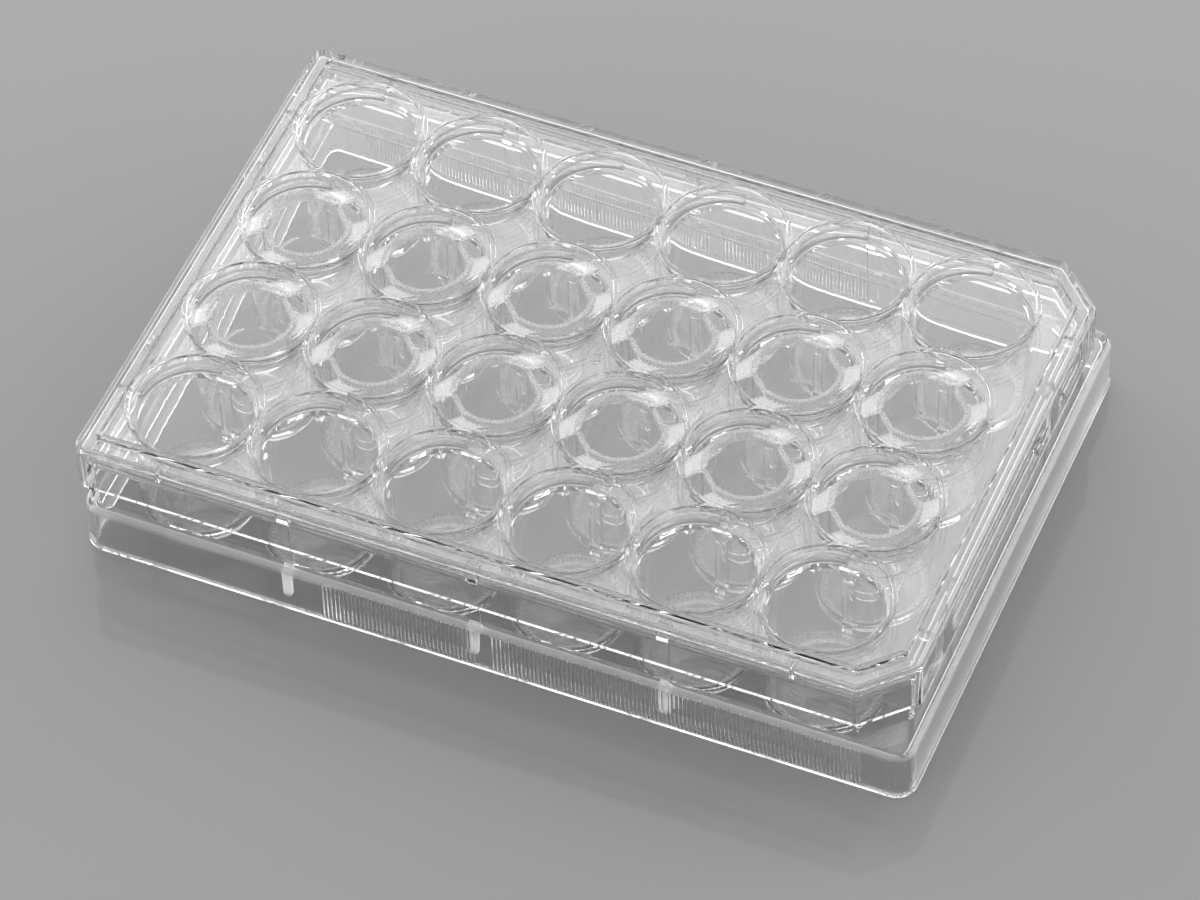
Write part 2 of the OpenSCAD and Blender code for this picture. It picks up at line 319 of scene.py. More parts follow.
def finished(piece):
    """Smooth shading that stays flat on flat faces."""
    work = bmesh.new()
    work.from_mesh(piece.data)
    bmesh.ops.triangulate(work, faces=work.faces)
    for f in work.faces:
        f.smooth = True
    work.to_mesh(piece.data)
    work.free()
    piece.data.materials.clear()
    piece.data.set_sharp_from_angle(angle=math.radians(SHARP_ANGLE))
    weigh = piece.modifiers.new("even_shading", "WEIGHTED_NORMAL")
    weigh.weight = FACE_WEIGHT
    weigh.keep_sharp = True
    triangles = len(piece.data.polygons)
    print(piece.name, "triangles", triangles, "open edges, volume", is_closed(piece))
    return piece


print("edges stay sharp from", SHARP_ANGLE, "degrees")

# %% [markdown]
# ## The outlines
#
# The skirt that stands in an instrument's nest is a plain rectangle with round
# corners. The upper wall and the lid share another outline, with two corners cut at
# one end, so that the lid only goes on one way round.


# %% Draw an outline with a radius at each corner
def outline(corners, arc_steps=6):
    """corners are (x, y, radius), anticlockwise."""
    points = []
    count = len(corners)
    for i, (x, y, r) in enumerate(corners):
        here = Vector((x, y))
        back = (Vector(corners[i - 1][:2]) - here).normalized()
        on = (Vector(corners[(i + 1) % count][:2]) - here).normalized()
        half = back.angle(on) / 2
        reach = r / math.tan(half)
        centre = here + (back + on).normalized() * (r / math.sin(half))
        points += arc(centre, here + back * reach, here + on * reach, arc_steps)
    return points


print("points in a square outline:", len(outline([(-1, -1, 1), (1, -1, 1), (1, 1, 1), (-1, 1, 1)])))

# %% [markdown]
# Each outline can be drawn in by an inset, and its corners get tighter as it shrinks,
# just as the inner corners of a wall are tighter than the outer ones. A cut corner
# shrinks by its own rule, so that the wall along the cut is as thick as the rest.

# %% Draw the footprint and the lid's edge
FOOT_R, LEAST_FOOT_R = 3.18, 0.12


def foot_outline(inset):
    """The footprint, drawn in by inset."""
    l, w = BASE_L / 2 - inset, BASE_W / 2 - inset
    r = max(FOOT_R - inset, LEAST_FOOT_R)
    return outline([(-l, -w, r), (l, -w, r), (l, w, r), (-l, w, r)])


SLANT = 2 - math.sqrt(2)
CUT_LEG = 6.2 + SLANT * LID_OUT
SQUARE_R, CUT_R, LEAST_R = 1.6, 1.2, 0.3


def lid_outline(inset):
    """The lid's edge, drawn in by inset. The base's upper wall is LID_OUT further in."""
    l, w = LID_L / 2 - inset, LID_W / 2 - inset
    c = CUT_LEG - SLANT * inset
    r, s = max(SQUARE_R - inset, LEAST_R), max(CUT_R - inset * 0.3, LEAST_R)
    corners = [(-l, -w, r), (l - c, -w, s), (l, -w + c, s)]
    corners += [(l, w - c, s), (l - c, w, s), (-l, w, r)]
    return [(x + LID_X, y) for x, y in outline(corners)]


def around(outline_of, profile):
    """Carries a profile of (inset, height) round an outline, as loops of points."""
    return [[(x, y, z) for x, y in outline_of(inset)] for inset, z in profile]


print("points in an outline:", len(foot_outline(0)), len(lid_outline(0)))

# %% [markdown]
# ## The lid
#
# One moulding: a skirt, a low outer step, a thin stacking rim and a flat panel. It
# could be hollowed out of a block, but a single profile carried round the outline
# gives the same wall everywhere, with its small radii in the right places.

# %% Carry the lid's profile round its outline
POCKET, TO_MIDDLE = 2.9, 3
RIM_OUT_AT, RIM_IN_AT = 2.6, 3.2
SKIRT_TAPER = 0.15
lid_profile = rounded([
    (POCKET + TO_MIDDLE, PANEL_UNDER, 0),
    (POCKET, PANEL_UNDER, 0.2),
    (POCKET, POST_TOP, 0.15),
    (LID_T, POST_TOP, 0.35),
    (LID_T + SKIRT_TAPER, LID_FOOT, 0.06),
    (0.0, LID_FOOT, 0.08),
    (0.0, STEP_H, 0.35),
    (RIM_OUT_AT, STEP_H, 0.15),
    (RIM_OUT_AT, RIM_H, 0.25),
    (RIM_IN_AT, RIM_H, 0.22),
    (RIM_IN_AT, PANEL_H, 0.12),
    (POCKET + TO_MIDDLE, PANEL_H, 0),
])
lid = outward(loft("lid_moulding", around(lid_outline, lid_profile)))
print("lid shell:", is_closed(lid))

# %% [markdown]
# Round each well the panel carries a raised ring that marks the wells off. Its two
# rounded shoulders are what shows as two bright lines. Each ring is a small profile
# carried round a circle. Neighbouring rings run into each other, and solids that
# overlap can't be joined in one go, so they go on in two sets, like a chessboard.

# %% Turn the raised rings and join them to the panel
RING_IN, RING_OUT, RING_TOP, RING_EDGE, RING_ROOT = 9.27, 10.07, 21.9, 0.24, 0.3


def ring_loops(cx, cy):
    """One ring as a profile carried round a circle."""
    section = rounded([
        (RING_IN, PANEL_H - RING_ROOT, 0), (RING_IN, RING_TOP, RING_EDGE),
        (RING_OUT, RING_TOP, RING_EDGE), (RING_OUT, PANEL_H - RING_ROOT, 0),
    ])
    turns = [2 * math.pi * k / SEGMENTS for k in range(SEGMENTS)]
    return [[(cx + r * math.cos(a), cy + r * math.sin(a), z) for a in turns] for r, z in section]


for parity in (0, 1):
    some = []
    for i, (x, y) in enumerate(WELLS):
        if (i % 6 + i // 6) % 2 == parity:
            some.append(outward(loft("ring", ring_loops(x, y), ring=True)))
    add(lid, "rings", some)


# %% [markdown]
# Pads, webs and posts are boxes with rounded edges that stand on a wall. A bevel on a
# cube would do as well, but a loft keeps every edge the same. Inside the lid's skirt,
# ten small pads keep it centred on the base, and eight short webs stiffen it.


# %% Make a box with rounded edges
BLOCK_STEPS = 3


def block(name, low, high, edge=0.1):
    """low and high are opposite corners. All edges get the same radius."""
    cx, cy = (low[0] + high[0]) / 2, (low[1] + high[1]) / 2
    hx, hy = (high[0] - low[0]) / 2, (high[1] - low[1]) / 2

    def around_box(inset):
        l, w, r = hx - inset, hy - inset, max(edge - inset, 0.02)
        box = [(-l, -w, r), (l, -w, r), (l, w, r), (-l, w, r)]
        return [(cx + x, cy + y) for x, y in outline(box, BLOCK_STEPS)]

    side = rounded([
        (edge * 1.5, low[2], 0), (0, low[2], edge), (0, high[2], edge), (edge * 1.5, high[2], 0),
    ])
    return outward(loft(name, around(around_box, side)))


def wall_block(name, along_y, at, middle_at, wide, reach, heights, edge=0.1):
    """A block on a wall that runs along Y or X. reach is its two faces across the wall."""
    near, far = sorted(at + r for r in reach)
    if along_y:
        low, high = (near, middle_at - wide / 2), (far, middle_at + wide / 2)
    else:
        low, high = (middle_at - wide / 2, near), (middle_at + wide / 2, far)
    return block(name, (*low, heights[0]), (*high, heights[1]), edge)


print("points round a block:", 4 * (BLOCK_STEPS + 1))

# %% [markdown]
# The pads aren't opposite each other: each long side has its three a little to one
# side of the middle, turned round on the other side, and so have the short sides.

# %% Put the pads inside the skirt
PAD_W, PAD_T, PAD_ROOT = 3.5, 0.15, 0.4
PAD_PITCH_X, PAD_SHIFT_X = 47.2, 0.9
PAD_PITCH_Y, PAD_SHIFT_Y = 43.4, 3.15
PAD_HEIGHTS = (LID_FOOT + 0.12, POST_TOP + 0.2)
lid_in_y = LID_W / 2 - LID_T
lid_in_x = LID_L / 2 - LID_T
pads = []
for side in (-1, 1):
    reach = (side * PAD_ROOT, -side * PAD_T)
    for i in (-1, 0, 1):
        x = side * (PAD_SHIFT_X - i * PAD_PITCH_X)
        pads.append(wall_block("pad", False, side * lid_in_y, x, PAD_W, reach, PAD_HEIGHTS))
    for i in (-1, 1):
        y = i * PAD_PITCH_Y / 2 - side * PAD_SHIFT_Y
        pads.append(wall_block("pad", True, LID_X + side * lid_in_x, y, PAD_W, reach, PAD_HEIGHTS))
add(lid, "pads", pads)

# %% [markdown]
# The webs are thin upright plates between the skirt and the panel, in line with the
# outer rows and columns of wells. They reach a little into the skirt, so that the
# two join, and stay just above the base's deck.

# %% Put the webs inside the skirt
WEB_T, WEB_EDGE, WEB_ROOT, WEB_REACH = 0.7, 0.15, 0.3, 1.95
WEB_HEIGHTS = (18.6, POST_TOP + 0.4)
webs = []
for side in (-1, 1):
    reach = (side * WEB_ROOT, -side * WEB_REACH)
    for x in (COLUMNS[0], COLUMNS[-1]):
        at = side * lid_in_y
        webs.append(wall_block("web", False, at, x, WEB_T, reach, WEB_HEIGHTS, WEB_EDGE))
    for y in (ROWS[0], ROWS[-1]):
        at = LID_X + side * lid_in_x
        webs.append(wall_block("web", True, at, y, WEB_T, reach, WEB_HEIGHTS, WEB_EDGE))
add(lid, "webs", webs)

# %% [markdown]
# The melt came in at the middle of the panel, and left a small round dimple with a
# pip in it. It is cut with a turned solid that has the shape of the mark.

# %% Cut the gate mark
GATE_R, GATE_D, PIP_R, PIP_D = 0.9, 0.2, 0.45, 0.05
gate = rounded([
    (0, RIM_H + 0.1, 0), (GATE_R, RIM_H + 0.1, 0), (GATE_R, PANEL_H - GATE_D, 0.12),
    (PIP_R + 0.1, PANEL_H - GATE_D, 0.1), (PIP_R, PANEL_H - PIP_D, 0.1), (0, PANEL_H - PIP_D, 0),
])
carve(lid, outward(turned_solid("gate", gate, ((LID_X, 0),), 48)), "DIFFERENCE")
finished(lid)

# %% [markdown]
# ## The base
#
# The other large moulding starts with its skirt: a low wall that stands on the bench,
# with a ledge on top, just below the lid's foot. Like the lid, it is one profile
# carried round an outline. A hole for the wells is then cut in the ledge.

# %% Make the skirt with its ledge
LEDGE_DEPTH, TOE_H = 25, 0.8
skirt_profile = rounded([
    (LEDGE_DEPTH, LEDGE_H - SKIRT_T, 0),
    (SKIRT_T + RIDGE_OUT, LEDGE_H - SKIRT_T, 0.5),
    (SKIRT_T, 0.0, 0.12),
    (0.0, 0.0, 0.14),
    (0.0, TOE_H, 0.1),
    (RIDGE_OUT, TOE_H + 0.15, 0.1),
    (RIDGE_OUT, LEDGE_H, 0.75),
    (LEDGE_DEPTH, LEDGE_H, 0),
])
base = outward(loft("base_moulding", around(foot_outline, skirt_profile)))
inner_wall = LID_OUT + WALL_T
hole_profile = [(inner_wall + 0.02, 5.0), (inner_wall + 0.02, 12.0)]
carve(base, outward(loft("hole", around(lid_outline, hole_profile))), "DIFFERENCE")
print("skirt:", is_closed(base))

# %% [markdown]
# The upper wall rises from the ledge and carries the deck, the flat sheet that the
# wells hang from. It follows the lid's outline, so that the lid slips over it.

# %% Put the upper wall and the deck on it
DECK_T = 1.1
wall_profile = rounded([
    (inner_wall + 3, DECK_H - DECK_T, 0),
    (inner_wall, DECK_H - DECK_T, 0.5),
    (inner_wall, LEDGE_H - SKIRT_T + 0.01, 0),
    (LID_OUT, LEDGE_H - SKIRT_T + 0.01, 0),
    (LID_OUT, DECK_H, 0.5),
    (inner_wall + 3, DECK_H, 0),
])
carve(base, outward(loft("wall", around(lid_outline, wall_profile))), "UNION")
print("with the deck:", is_closed(base))

# %% [markdown]
# The 24 wells are slightly tapered pots, so that they leave the mould. They are
# turned full first and bored later, because the bores also go through the deck.

# %% Hang the wells from the deck
well_profile = rounded([
    (0, FLOOR_UNDER, 0),
    (WELL_FLOOR_R + WELL_T, FLOOR_UNDER, 1.2),
    (RIM_R, SEAT_H, 0.2),
    (0, SEAT_H, 0),
])
carve(base, outward(turned_solid("wells", well_profile, WELLS)), "UNION")
print("with the wells:", is_closed(base))

# %% [markdown]
# Short upright webs tie each well to its neighbours and keep the deck flat. Through
# the clear walls they show as pairs of bright upright lines.

# %% Tie neighbouring wells with short webs
TIE_W, TIE_LOW, TIE_HIGH, TIE_REACH, TIE_EDGE = 1.6, 1.8, 14.3, 1.1, 0.15
ties = []
for x, y in WELLS:
    reach, heights = (-TIE_REACH, TIE_REACH), (TIE_LOW, TIE_HIGH)
    if y < ROWS[-1] - 1:
        ties.append(wall_block("tie", False, y + PITCH / 2, x, TIE_W, reach, heights, TIE_EDGE))
    if x < COLUMNS[-1] - 1:
        ties.append(wall_block("tie", True, x + PITCH / 2, y, TIE_W, reach, heights, TIE_EDGE))
add(base, "ties", ties)

# %% [markdown]
# Each rim carries two lips, a quarter of a circle each, that stand a little higher
# than the seat. The tabs of an insert drop between them. A lip is one small profile
# swept along an arc, with its ends closed.


# %% Stand the two lips on each rim
def arc_solid(cx, cy, section, start, stop, steps):
    """A closed section of (radius, height) swept along an arc, with its ends closed."""
    loops = []
    for k in range(steps + 1):
        a = math.radians(start + (stop - start) * k / steps)
        loops.append([(cx + r * math.cos(a), cy + r * math.sin(a), z) for r, z in section])
    return outward(loft("arc", loops))


LIP_ROOT = SEAT_H - 0.4
LIP_SECTION = rounded([
    (WELL_R - 0.2, LIP_ROOT, 0), (RIM_R - 0.02, LIP_ROOT, 0),
    (RIM_R - 0.02, LIP_H, 0.2), (WELL_R - 0.2, LIP_H, 0),
], closed=True)
lips = []
for x, y in WELLS:
    for start in (90, 270):
        lips.append(arc_solid(x, y, LIP_SECTION, start, start + 90, 28))
add(base, "lips", lips)

# %% [markdown]
# Now each pot is bored out. The bore has a round fillet at the floor, which is easy
# to wipe and shows as a thick pale crescent, and a small step where the seat begins.

# %% Cut the bores
LIP_BORE = WELL_R + 0.15
FILLET = 1.3
bore_profile = rounded([
    (0, FLOOR_H, 0),
    (WELL_FLOOR_R, FLOOR_H, FILLET),
    (WELL_R, SEAT_H - 0.02, 0.12),
    (LIP_BORE, SEAT_H + 0.15, 0.05),
    (LIP_BORE, LIP_H - 0.15, 0.1),
    (LIP_BORE + 0.2, LIP_H + 0.5, 0),
    (0, LIP_H + 0.5, 0),
])
carve(base, outward(turned_solid("bores", bore_profile, WELLS)), "DIFFERENCE")
print("with the bores:", is_closed(base))

# %% [markdown]
# Ten slim posts stand on the outside of the upper wall and carry the lid. They are
# plain blocks with rounded edges, sunk into the wall so that they become one with it.

# %% Stand the posts against the upper wall
POST_W, POST_OUT, POST_ROOT, POST_EDGE = 2.0, 0.2, 0.9, 0.2
POST_PITCH_X, POST_PITCH_Y = 28.95, 38.6
POST_HEIGHTS = (LEDGE_H - 0.4, POST_TOP - 0.02)
wall_y = LID_W / 2 - LID_OUT
wall_x = LID_L / 2 - LID_OUT


def post(side, along_y, at, middle_at):
    """One post on the wall at the given place. side is the wall's direction from the middle."""
    reach = (side * POST_OUT, -side * POST_ROOT)
    return wall_block("post", along_y, at, middle_at, POST_W, reach, POST_HEIGHTS, POST_EDGE)


posts = []
for side in (-1, 1):
    for i in (-1, 0, 1):
        posts.append(post(side, False, side * wall_y, GRID_X + i * POST_PITCH_X))
for side in (-1, 1):
    for i in (-1, 1):
        posts.append(post(side, True, LID_X + side * wall_x, i * POST_PITCH_Y / 2))
add(base, "posts", posts)

# %% [markdown]
# Below each post on the long sides, a gusset stiffens the corner between the ledge
# and the skirt. It is a finger with a round end that narrows downwards, drawn as an
# outline and given a thickness, with its edges drawn in a little at both faces.

# %% Put the gussets under the ledge
GUSSET_LOW, GUSSET_TIP, GUSSET_TOP = 2.1, 0.68, LEDGE_H - 0.6
GUSSET_LAYERS = ((0.15, -0.55), (0.04, -0.5), (0, -0.4), (0, 0.4), (0.04, 0.5), (0.15, 0.55))
GUSSET_HALF, MIDDLE_GUSSET_HALF = 0.75, 0.95


def finger(x, half, y):
    """A gusset, half wide on each side of x at its top."""
    turn = [math.radians(a) for a in range(180, 361, 20)]
    shape = [(x - half, GUSSET_TOP)]
    for a in turn:
        shape.append((x + GUSSET_TIP * math.cos(a), GUSSET_LOW + GUSSET_TIP * (1 + math.sin(a))))
    shape.append((x + half, GUSSET_TOP))
    mid = Vector((x, (GUSSET_LOW + LEDGE_H) / 2))
    loops = []
    for inset, out in GUSSET_LAYERS:
        ring = [Vector(p) + (mid - Vector(p)).normalized() * inset for p in shape]
        loops.append([(p[0], y + out, p[1]) for p in ring])
    return outward(loft("gusset", loops))


inner_face = BASE_W / 2 - SKIRT_T - RIDGE_OUT
gussets = []
for side in (-1, 1):
    for i in (-1, 0, 1):
        wide = GUSSET_HALF if i else MIDDLE_GUSSET_HALF
        gussets.append(finger(GRID_X + i * POST_PITCH_X, wide, side * inner_face))
add(base, "gussets", gussets)

# %% [markdown]
# The long sides of the skirt have a row of fine upright ridges for the fingers, with
# a smooth gap at the middle. They could be a bump in the material, but real ribs
# break the light into the crisp white lines that such a grip shows.

# %% Put the row of grip ridges on both long sides
RIDGE_LOW, RIDGE_HIGH = 0.5, 8.15
GAP_LEFT, GAP_RIGHT = -1.9, 0.4
RUN_LEFT, RUN_RIGHT = -26.3, 56.7
ROOT = -0.1
SHARES = ((RIDGE_LOW, 1.0), (RIDGE_HIGH - 0.35, 1.0), (RIDGE_HIGH - 0.1, 0.75), (RIDGE_HIGH, 0.3))


def ridge(x, face_y, side):
    """One narrow ridge: a small rounded rib that fades out at its top."""
    half = RIDGE_PITCH * 0.36
    foot, shoulder = 0.05, RIDGE_OUT * 0.85
    across = [(-half, ROOT), (-half, foot), (-half * 0.45, shoulder), (0, RIDGE_OUT)]
    across += [(half * 0.45, shoulder), (half, foot), (half, ROOT)]
    loops = []
    for z, share in SHARES:
        grown = [(u, v if v <= foot else v * share) for u, v in across]
        loops.append([(x + side * u, side * (face_y + v), z) for u, v in grown])
    return outward(loft("ridge", loops))


face_y = BASE_W / 2 - RIDGE_OUT
left_count = int((GAP_LEFT - RUN_LEFT) / RIDGE_PITCH)
right_count = int((RUN_RIGHT - GAP_RIGHT) / RIDGE_PITCH)
ridge_x = [GAP_LEFT - (i + 0.5) * RIDGE_PITCH for i in range(left_count)]
ridge_x += [GAP_RIGHT + (i + 0.5) * RIDGE_PITCH for i in range(right_count)]
for side in (-1, 1):
    add(base, "ridges", [ridge(-side * x, face_y, side) for x in ridge_x])
finished(base)

# %% [markdown]
# ## The inserts
#
# Twelve equal cups. Each has a round mouth with two flats, and four tabs that hang
# on the rim of the well, with a slot for a pipette between each pair. One cup is
# built round the origin and its mesh is shared by the twelve.

# %% Turn the cup and flatten its sides
CUP_R, CUP_T, CUP_H = 5.9, 0.8, 20.3
FLAT_IN, FLAT_OUT = 5.3, 6.1
CUP_FLOOR, THROAT_H, NECK_H = 3.9, 5.6, 11.0
THROAT_IN, THROAT_OUT = 3.25, 4.25
NECK_IN, NECK_BEND = 0.25, 1.5
CUP_OUT = CUP_R + CUP_T


def slab(name, half):
    """A tall slab. What a cup shares with it has two flats, half away from the axis."""
    return block(name, (-half, -12, 0), (half, 12, 30), 0.15)


cup = outward(turned_solid("cup", rounded([
    (0, CUP_FLOOR, 0), (THROAT_OUT, CUP_FLOOR, 0.2), (THROAT_OUT, THROAT_H, 0.3),
    (CUP_OUT - NECK_IN, NECK_H, NECK_BEND), (CUP_OUT, CUP_H, 0.22), (0, CUP_H, 0),
])))
carve(cup, slab("flats", FLAT_OUT), "INTERSECT")
print("full cup:", is_closed(cup))

# %% [markdown]
# The cup hangs by two pairs of tabs, with a slot between the tabs of a pair. Seen from
# above, a tab is straight along its slot, round along the rim of the well, and slants
# back to the cup. One tab is drawn and mirrored to the four places.

# %% Draw the four tabs
TAB_T, TAB_END, SLOT_W, TAB_EDGE = 0.8, 4.7, 4.5, 0.12
TAB_R = RIM_R - 0.2
TAB_START, TAB_ROOT, TAB_BACK = 4.6, 2.0, (4.9, 6.25)
TAB_UNDER = SEAT_H + 0.02
TAB_PROFILE = rounded([
    (0.3, TAB_UNDER, 0), (0, TAB_UNDER, TAB_EDGE),
    (0, SEAT_H + TAB_T, TAB_EDGE), (0.3, SEAT_H + TAB_T, 0),
])


def tab(side, hand):
    """One tab. side is its side of the cup, and hand its side of the slot."""
    inner = SLOT_W / 2
    first, last = math.asin(inner / TAB_R), math.asin(TAB_END / TAB_R)
    shape = [(TAB_START, inner), (math.sqrt(TAB_R**2 - inner**2), inner)]
    for k in range(1, 6):
        a = first + (last - first) * k / 6
        shape.append((TAB_R * math.cos(a), TAB_R * math.sin(a)))
    shape += [(TAB_R * math.cos(last), TAB_END), (TAB_ROOT, TAB_BACK[1]), (TAB_ROOT, TAB_BACK[0])]
    points = [Vector((side * x, hand * y)) for x, y in shape]
    mid = Vector((sum(p.x for p in points) / len(points), sum(p.y for p in points) / len(points)))
    loops = []
    for inset, z in TAB_PROFILE:
        loops.append([(*(p + (mid - p).normalized() * inset), z) for p in points])
    return outward(loft("tab", loops))


tabs = [tab(side, hand) for side in (-1, 1) for hand in (-1, 1)]
add(cup, "tabs", tabs)

# %% [markdown]
# The inside is a second turned solid with flats of its own, which is cut out, and
# leaves an even wall. Two blocks then open the slots. The grid of a plate is square,
# but the tabs point between the wells, so the finished cup is turned by 45 degrees.

# %% Hollow the cup, open the slots and turn it
SLOT_AT, SLOT_REACH, SLOT_LOW = 6.0, 1.2, 19.1
SLOT_HIGH = CUP_H + 1
hollow = outward(turned_solid("hollow", rounded([
    (0, CUP_FLOOR - 0.5, 0), (THROAT_IN, CUP_FLOOR - 0.5, 0), (THROAT_IN, THROAT_H, 0.3),
    (CUP_R - NECK_IN, NECK_H, NECK_BEND), (CUP_R, CUP_H - 0.02, 0.15),
    (CUP_R + 0.3, CUP_H + 0.4, 0), (0, CUP_H + 0.4, 0),
])))
carve(hollow, slab("hollow_flats", FLAT_IN), "INTERSECT")
carve(cup, hollow, "DIFFERENCE")
cuts = []
for side in (-1, 1):
    low = (side * SLOT_AT - SLOT_REACH, -SLOT_W / 2, SLOT_LOW)
    high = (side * SLOT_AT + SLOT_REACH, SLOT_W / 2, SLOT_HIGH)
    cuts.append(block("cut", low, high, 0.15))
carve(cup, joined("cuts", cuts), "DIFFERENCE")
finished(cup)
cup.data.transform(Matrix.Rotation(math.radians(45), 4, "Z"))

# %% [markdown]
# All twelve pieces share the one mesh, so an edit to the cup changes them all. Each
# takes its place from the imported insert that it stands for.

# %% Hang the twelve inserts
insert_pieces = []
for row in "bc":
    for column in range(1, 7):
        node = f"insert_{row}{column}"
        x, y = middle(node)
        if insert_pieces:
            piece = insert_pieces[0].copy()
            scene.collection.objects.link(piece)
        else:
            piece = cup
        piece.name = f"cup_{row}{column}"
        piece.location = (x * MM, y * MM, 0)
        insert_pieces.append(piece)
        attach(piece, "root")
        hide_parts(node)
print("inserts:", len(insert_pieces))

# %% [markdown]
# The lid and the base ride on the same body as the solids they stand for. Nothing in
# a plate moves by a joint: the lid only rests, and the inserts only hang.

# %% Let the two mouldings stand for their solids
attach(lid, "root")
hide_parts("lid")
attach(base, "root")
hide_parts("base_plate")
print("dressed:", lid.name, base.name)

# %% [markdown]
# ## Finishes
#
# Polystyrene is clear and glossy. A glass-like shader with its index of about 1.59
# bends and mirrors the light at every face. Rays from lamps go straight through, as
# most real light would, so that the bench under the plate isn't black. What tells
# such a moulding from cut glass is its skin: walls carry flow lines from the melt,
# and edges, tabs and corners are a little frosted by the tool.

# %% Small helpers for node trees
IOR = 1.59


class Tree:
    """Makes nodes and joins them, so that a material reads as a list of steps."""

    def __init__(self, name):
        self.made = bpy.data.materials.new(name)
        self.made.use_nodes = True
        self.nodes, self.links = self.made.node_tree.nodes, self.made.node_tree.links
        self.shader = self.nodes["Principled BSDF"]
        self.coords = self.nodes.new("ShaderNodeTexCoord").outputs["Object"]

    def plug(self, value, socket):
        """Sets a socket to a number, or joins it to another socket."""
        if isinstance(value, bpy.types.NodeSocket):
            self.links.new(value, socket)
        else:
            socket.default_value = value

    def sum(self, how, *values):
        """One step of arithmetic."""
        node = self.nodes.new("ShaderNodeMath")
        node.operation = how
        for value, socket in zip(values, node.inputs):
            self.plug(value, socket)
        return node.outputs[0]

    def part(self, vector, axis):
        """One of the three numbers of a vector."""
        node = self.nodes.new("ShaderNodeSeparateXYZ")
        self.links.new(vector, node.inputs[0])
        return node.outputs[axis]

    def step(self, value, start, stop, low=0.0, high=1.0):
        """Goes softly from low to high, while the value goes from start to stop."""
        node = self.nodes.new("ShaderNodeMapRange")
        node.interpolation_type = "SMOOTHSTEP"
        for item, socket in zip((value, start, stop, low, high), node.inputs):
            self.plug(item, socket)
        return node.outputs[0]

    def stretch(self, scale, turn=(0, 0, 0)):
        """The coordinates, stretched and turned."""
        node = self.nodes.new("ShaderNodeMapping")
        self.links.new(self.coords, node.inputs["Vector"])
        node.inputs["Scale"].default_value = scale
        node.inputs["Rotation"].default_value = turn
        return node.outputs[0]

    def noise(self, vector, scale, detail=2.0):
        """Soft random spots. The scale is about how many fit in a metre."""
        node = self.nodes.new("ShaderNodeTexNoise")
        self.links.new(vector, node.inputs["Vector"])
        node.inputs["Scale"].default_value = scale
        node.inputs["Detail"].default_value = detail
        return node.outputs["Fac"]

    def bump(self, height, depth):
        """Lets the surface look uneven, by depth in metres."""
        node = self.nodes.new("ShaderNodeBump")
        node.inputs["Strength"].default_value = 1.0
        node.inputs["Distance"].default_value = depth
        self.links.new(height, node.inputs["Height"])
        self.links.new(node.outputs[0], self.shader.inputs["Normal"])

    def clear(self, tint, index=IOR, share=1.0):
        """Clear plastic of one tint. share is how much of the light goes in."""
        self.shader.inputs["Base Color"].default_value = (*tint, 1)
        self.shader.inputs["IOR"].default_value = index
        self.shader.inputs["Transmission Weight"].default_value = share

    def lamps_through(self, share):
        """Lets the light of lamps pass straight through, at the given share a face."""
        through = self.nodes.new("ShaderNodeBsdfTransparent")
        through.inputs["Color"].default_value = (share, share, share, 1)
        choose = self.nodes.new("ShaderNodeMixShader")
        path = self.nodes.new("ShaderNodeLightPath")
        self.links.new(path.outputs["Is Shadow Ray"], choose.inputs["Fac"])
        self.links.new(self.shader.outputs["BSDF"], choose.inputs[1])
        self.links.new(through.outputs["BSDF"], choose.inputs[2])
        self.links.new(choose.outputs["Shader"], self.nodes["Material Output"].inputs["Surface"])
        return choose


print("index of the plastic:", IOR)

# %% [markdown]
# The lid and the base are the clearest parts. Melt that cools in a thin mould leaves
# faint clouds in the colour, a few centimetres wide, and on the walls of the wells
# streaks that run up and down. The streaks are a stretched noise used as a bump, much
# finer than any mesh could be. They fade out near the rims, which the tool polishes.

# %% Mix the clear plastic of the lid and the base
CLEAR_TINT = (0.985, 0.99, 0.99)
THROUGH, LID_THROUGH = 0.92, 0.93
CLOUDS, FAINTEST, CLEAREST = 90, 0.978, 0.996
STREAKS, STREAK_STRETCH, STREAK_TURN = 640, (1, 1, 0.14), (0.2, 0.12, 0)
STREAK_TOP, STREAK_FULL = 16.5 * MM, 11 * MM
WALL_FLOW, WALL_DEPTH = 0.2, 0.00004


def flow_lines(tree, share=1.0):
    """Streaks of the melt on upright walls, a little slanted."""
    streaks = tree.noise(tree.stretch(STREAK_STRETCH, STREAK_TURN), STREAKS, 1.0)
    below = tree.step(tree.part(tree.coords, 2), STREAK_TOP, STREAK_FULL, 0.15 * share, share)
    return tree.sum("MULTIPLY", streaks, below)


def clear_plastic(name, lamps, flow=0.0):
    """Glass-clear plastic that is very faintly clouded, as a cooled melt is."""
    tree = Tree(name)
    clouds = tree.noise(tree.coords, CLOUDS, 0.0)
    tint = tree.step(clouds, 0.3, 0.7, FAINTEST, CLEAREST)
    tree.clear(CLEAR_TINT)
    tree.shader.inputs["Roughness"].default_value = 0.0
    tree.links.new(tint, tree.shader.inputs["Base Color"])
    if flow:
        tree.bump(flow_lines(tree, flow), WALL_DEPTH)
    tree.lamps_through(lamps)
    return tree.made


lid_finish = clear_plastic("clear_lid", LID_THROUGH)
base_finish = clear_plastic("clear_base", THROUGH)
wall_finish = clear_plastic("well_wall", THROUGH, WALL_FLOW)
print("clear:", lid_finish.name, base_finish.name, wall_finish.name)

# %% [markdown]
# Some faces of the tool are ground instead of polished, and the plastic copies them
# as frost. A fine noise drives both the roughness and the bump. The gussets also
# glow, because light from behind stops in them: a translucent shader is mixed in,
# more of it near their tips.

